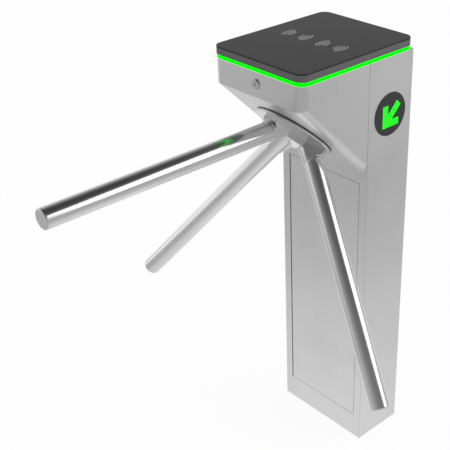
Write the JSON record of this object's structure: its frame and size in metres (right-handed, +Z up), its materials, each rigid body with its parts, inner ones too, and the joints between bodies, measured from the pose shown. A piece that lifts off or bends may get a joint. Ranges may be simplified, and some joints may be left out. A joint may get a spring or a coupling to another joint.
{
  "type": "tripod turnstile",
  "caption": "Waist-high access turnstile: slant-faced steel cabinet with a rotor of angled arms, light strip, arrow lights, hinged lid and service door.",
  "frame": {"origin": "on the floor at the centre of the post's footprint, which is the centre of its four floor bolts", "axes": "+Z up; the slanted face and the arms look towards -Y; +X is the side that carries the arrow towards the viewer; the upright back of the post is at +Y"},
  "size_m": [0.789, 0.8207, 1],
  "materials": {
    "brushed_shell": "satin",
    "polished_steel": "polished",
    "satin_aluminium": "satin",
    "lid_black": "satin",
    "lid_glass": "gloss",
    "green_light": "gloss",
    "indicator_black": "gloss",
    "indicator_green": "gloss",
    "black_plastic": "matte",
    "grommet_rubber": "matte",
    "plated_steel": "satin",
    "machined_aluminium": "satin",
    "bearing_steel": "gloss",
    "gear_nylon": "matte",
    "pinion_brass": "satin",
    "coil_black": "satin",
    "core_steel": "matte",
    "supply_case": "satin",
    "board_green": "gloss",
    "terminal_grey": "matte"
  },
  "bodies": {
    "cabinet": {"post_shell": "brushed_shell", "head_shell": "brushed_shell", "plinth_panel": "brushed_shell", "upper_panel": "brushed_shell", "lock_barrel": "polished_steel", "light_strip": "green_light", "indicator_lenses": "indicator_black", "indicator_arrows": "indicator_green", "indicator_housings": "black_plastic", "position_sensor": "black_plastic", "damper_body": "black_plastic", "cable_grommet": "grommet_rubber", "top_frame": "plated_steel", "lid_hinge_brackets": "plated_steel", "lock_nut": "plated_steel", "plate_pillars": "plated_steel", "pawl_pins": "plated_steel", "detent_posts": "plated_steel", "lid_hinge_pins": "plated_steel", "door_pins": "plated_steel", "base_plate": "plated_steel", "front_plate": "machined_aluminium", "rear_plate": "machined_aluminium", "bearing_housings": "machined_aluminium", "ball_bearings": "bearing_steel", "detent_spring": "bearing_steel", "solenoids": "coil_black", "door_magnet": "coil_black", "transformer": "core_steel", "power_supply": "supply_case", "control_board": "board_green", "terminal_block": "terminal_grey"},
    "rotor": {"rotor_disc": "satin_aluminium", "hub": "satin_aluminium", "arm_tube_front": "polished_steel", "arm_tube_right": "polished_steel", "arm_tube_left": "polished_steel", "arm_end_caps": "polished_steel", "arm_plugs": "machined_aluminium", "arm_screws": "plated_steel", "main_shaft": "plated_steel", "shaft_spacers": "machined_aluminium", "locking_disc": "plated_steel", "detent_cam": "plated_steel", "damper_gear": "gear_nylon", "shaft_nut": "plated_steel", "encoder_disc": "black_plastic"},
    "damper_pinion": {"damper_pinion": "pinion_brass"},
    "right_pawl": {"right_pawl": "plated_steel"},
    "left_pawl": {"left_pawl": "plated_steel"},
    "right_plunger": {"right_plunger": "bearing_steel"},
    "left_plunger": {"left_plunger": "bearing_steel"},
    "detent_lever": {"detent_lever": "plated_steel"},
    "detent_roller": {"detent_roller": "bearing_steel"},
    "lid": {"lid_pan": "lid_black", "lid_glass": "lid_glass", "card_readers": "black_plastic", "lid_catch": "plated_steel"},
    "lock_plug": {"lock_plug": "polished_steel"},
    "door": {"door_panel": "brushed_shell"}
  },
  "joints": [
    {"name": "rotor_turn", "type": "hinge", "parent": "cabinet", "child": "rotor", "pos_m": [0, -0.15438, 0.81907], "axis": [0, -0.7071, -0.7071], "continuous": true},
    {"name": "damper_turn", "type": "hinge", "parent": "cabinet", "child": "damper_pinion", "pos_m": [0, -0.04795, 0.81943], "axis": [0, -0.7071, -0.7071], "continuous": true},
    {"name": "right_pawl_swing", "type": "hinge", "parent": "cabinet", "child": "right_pawl", "pos_m": [0.07039, -0.1157, 0.8398], "axis": [0, -0.7071, -0.7071], "range_deg": [0, 12.7], "stiffness_Nm_per_rad": 0.2, "springref_deg": -14.32},
    {"name": "left_pawl_swing", "type": "hinge", "parent": "cabinet", "child": "left_pawl", "pos_m": [-0.07039, -0.1157, 0.8398], "axis": [0, 0.7071, 0.7071], "range_deg": [0, 12.7], "stiffness_Nm_per_rad": 0.2, "springref_deg": -14.32},
    {"name": "right_plunger_slide", "type": "slide", "parent": "cabinet", "child": "right_plunger", "axis": [1, 0, 0], "range_m": [0, 0.0134]},
    {"name": "left_plunger_slide", "type": "slide", "parent": "cabinet", "child": "left_plunger", "axis": [-1, 0, 0], "range_m": [0, 0.0134]},
    {"name": "detent_lever_swing", "type": "hinge", "parent": "cabinet", "child": "detent_lever", "pos_m": [-0.066, -0.15975, 0.8994], "axis": [0, 0.7071, 0.7071], "range_deg": [0, 6.8], "stiffness_Nm_per_rad": 2, "springref_deg": -3.44, "deforming": ["detent_spring"]},
    {"name": "detent_roller_turn", "type": "hinge", "parent": "detent_lever", "child": "detent_roller", "pos_m": [0, -0.15445, 0.90471], "axis": [0, -0.7071, -0.7071], "continuous": true},
    {"name": "lid_open", "type": "hinge", "parent": "cabinet", "child": "lid", "pos_m": [0, 0.0633, 0.983], "axis": [-1, 0, 0], "range_deg": [0, 75]},
    {"name": "lock_turn", "type": "hinge", "parent": "cabinet", "child": "lock_plug", "pos_m": [0, -0.2565, 0.9497], "axis": [0, 1, 0], "range_deg": [0, 90]},
    {"name": "door_open", "type": "hinge", "parent": "cabinet", "child": "door", "pos_m": [-0.1037, -0.0625, 0.38], "axis": [0, 0, -1], "range_deg": [0, 75]}
  ],
  "couplings": [
    {"joint": "damper_turn", "follows": "rotor_turn", "ratio": -4},
    {"joint": "right_plunger_slide", "follows": "right_pawl_swing", "m_per_rad": 0.0598},
    {"joint": "left_plunger_slide", "follows": "left_pawl_swing", "m_per_rad": 0.0598}
  ]
}
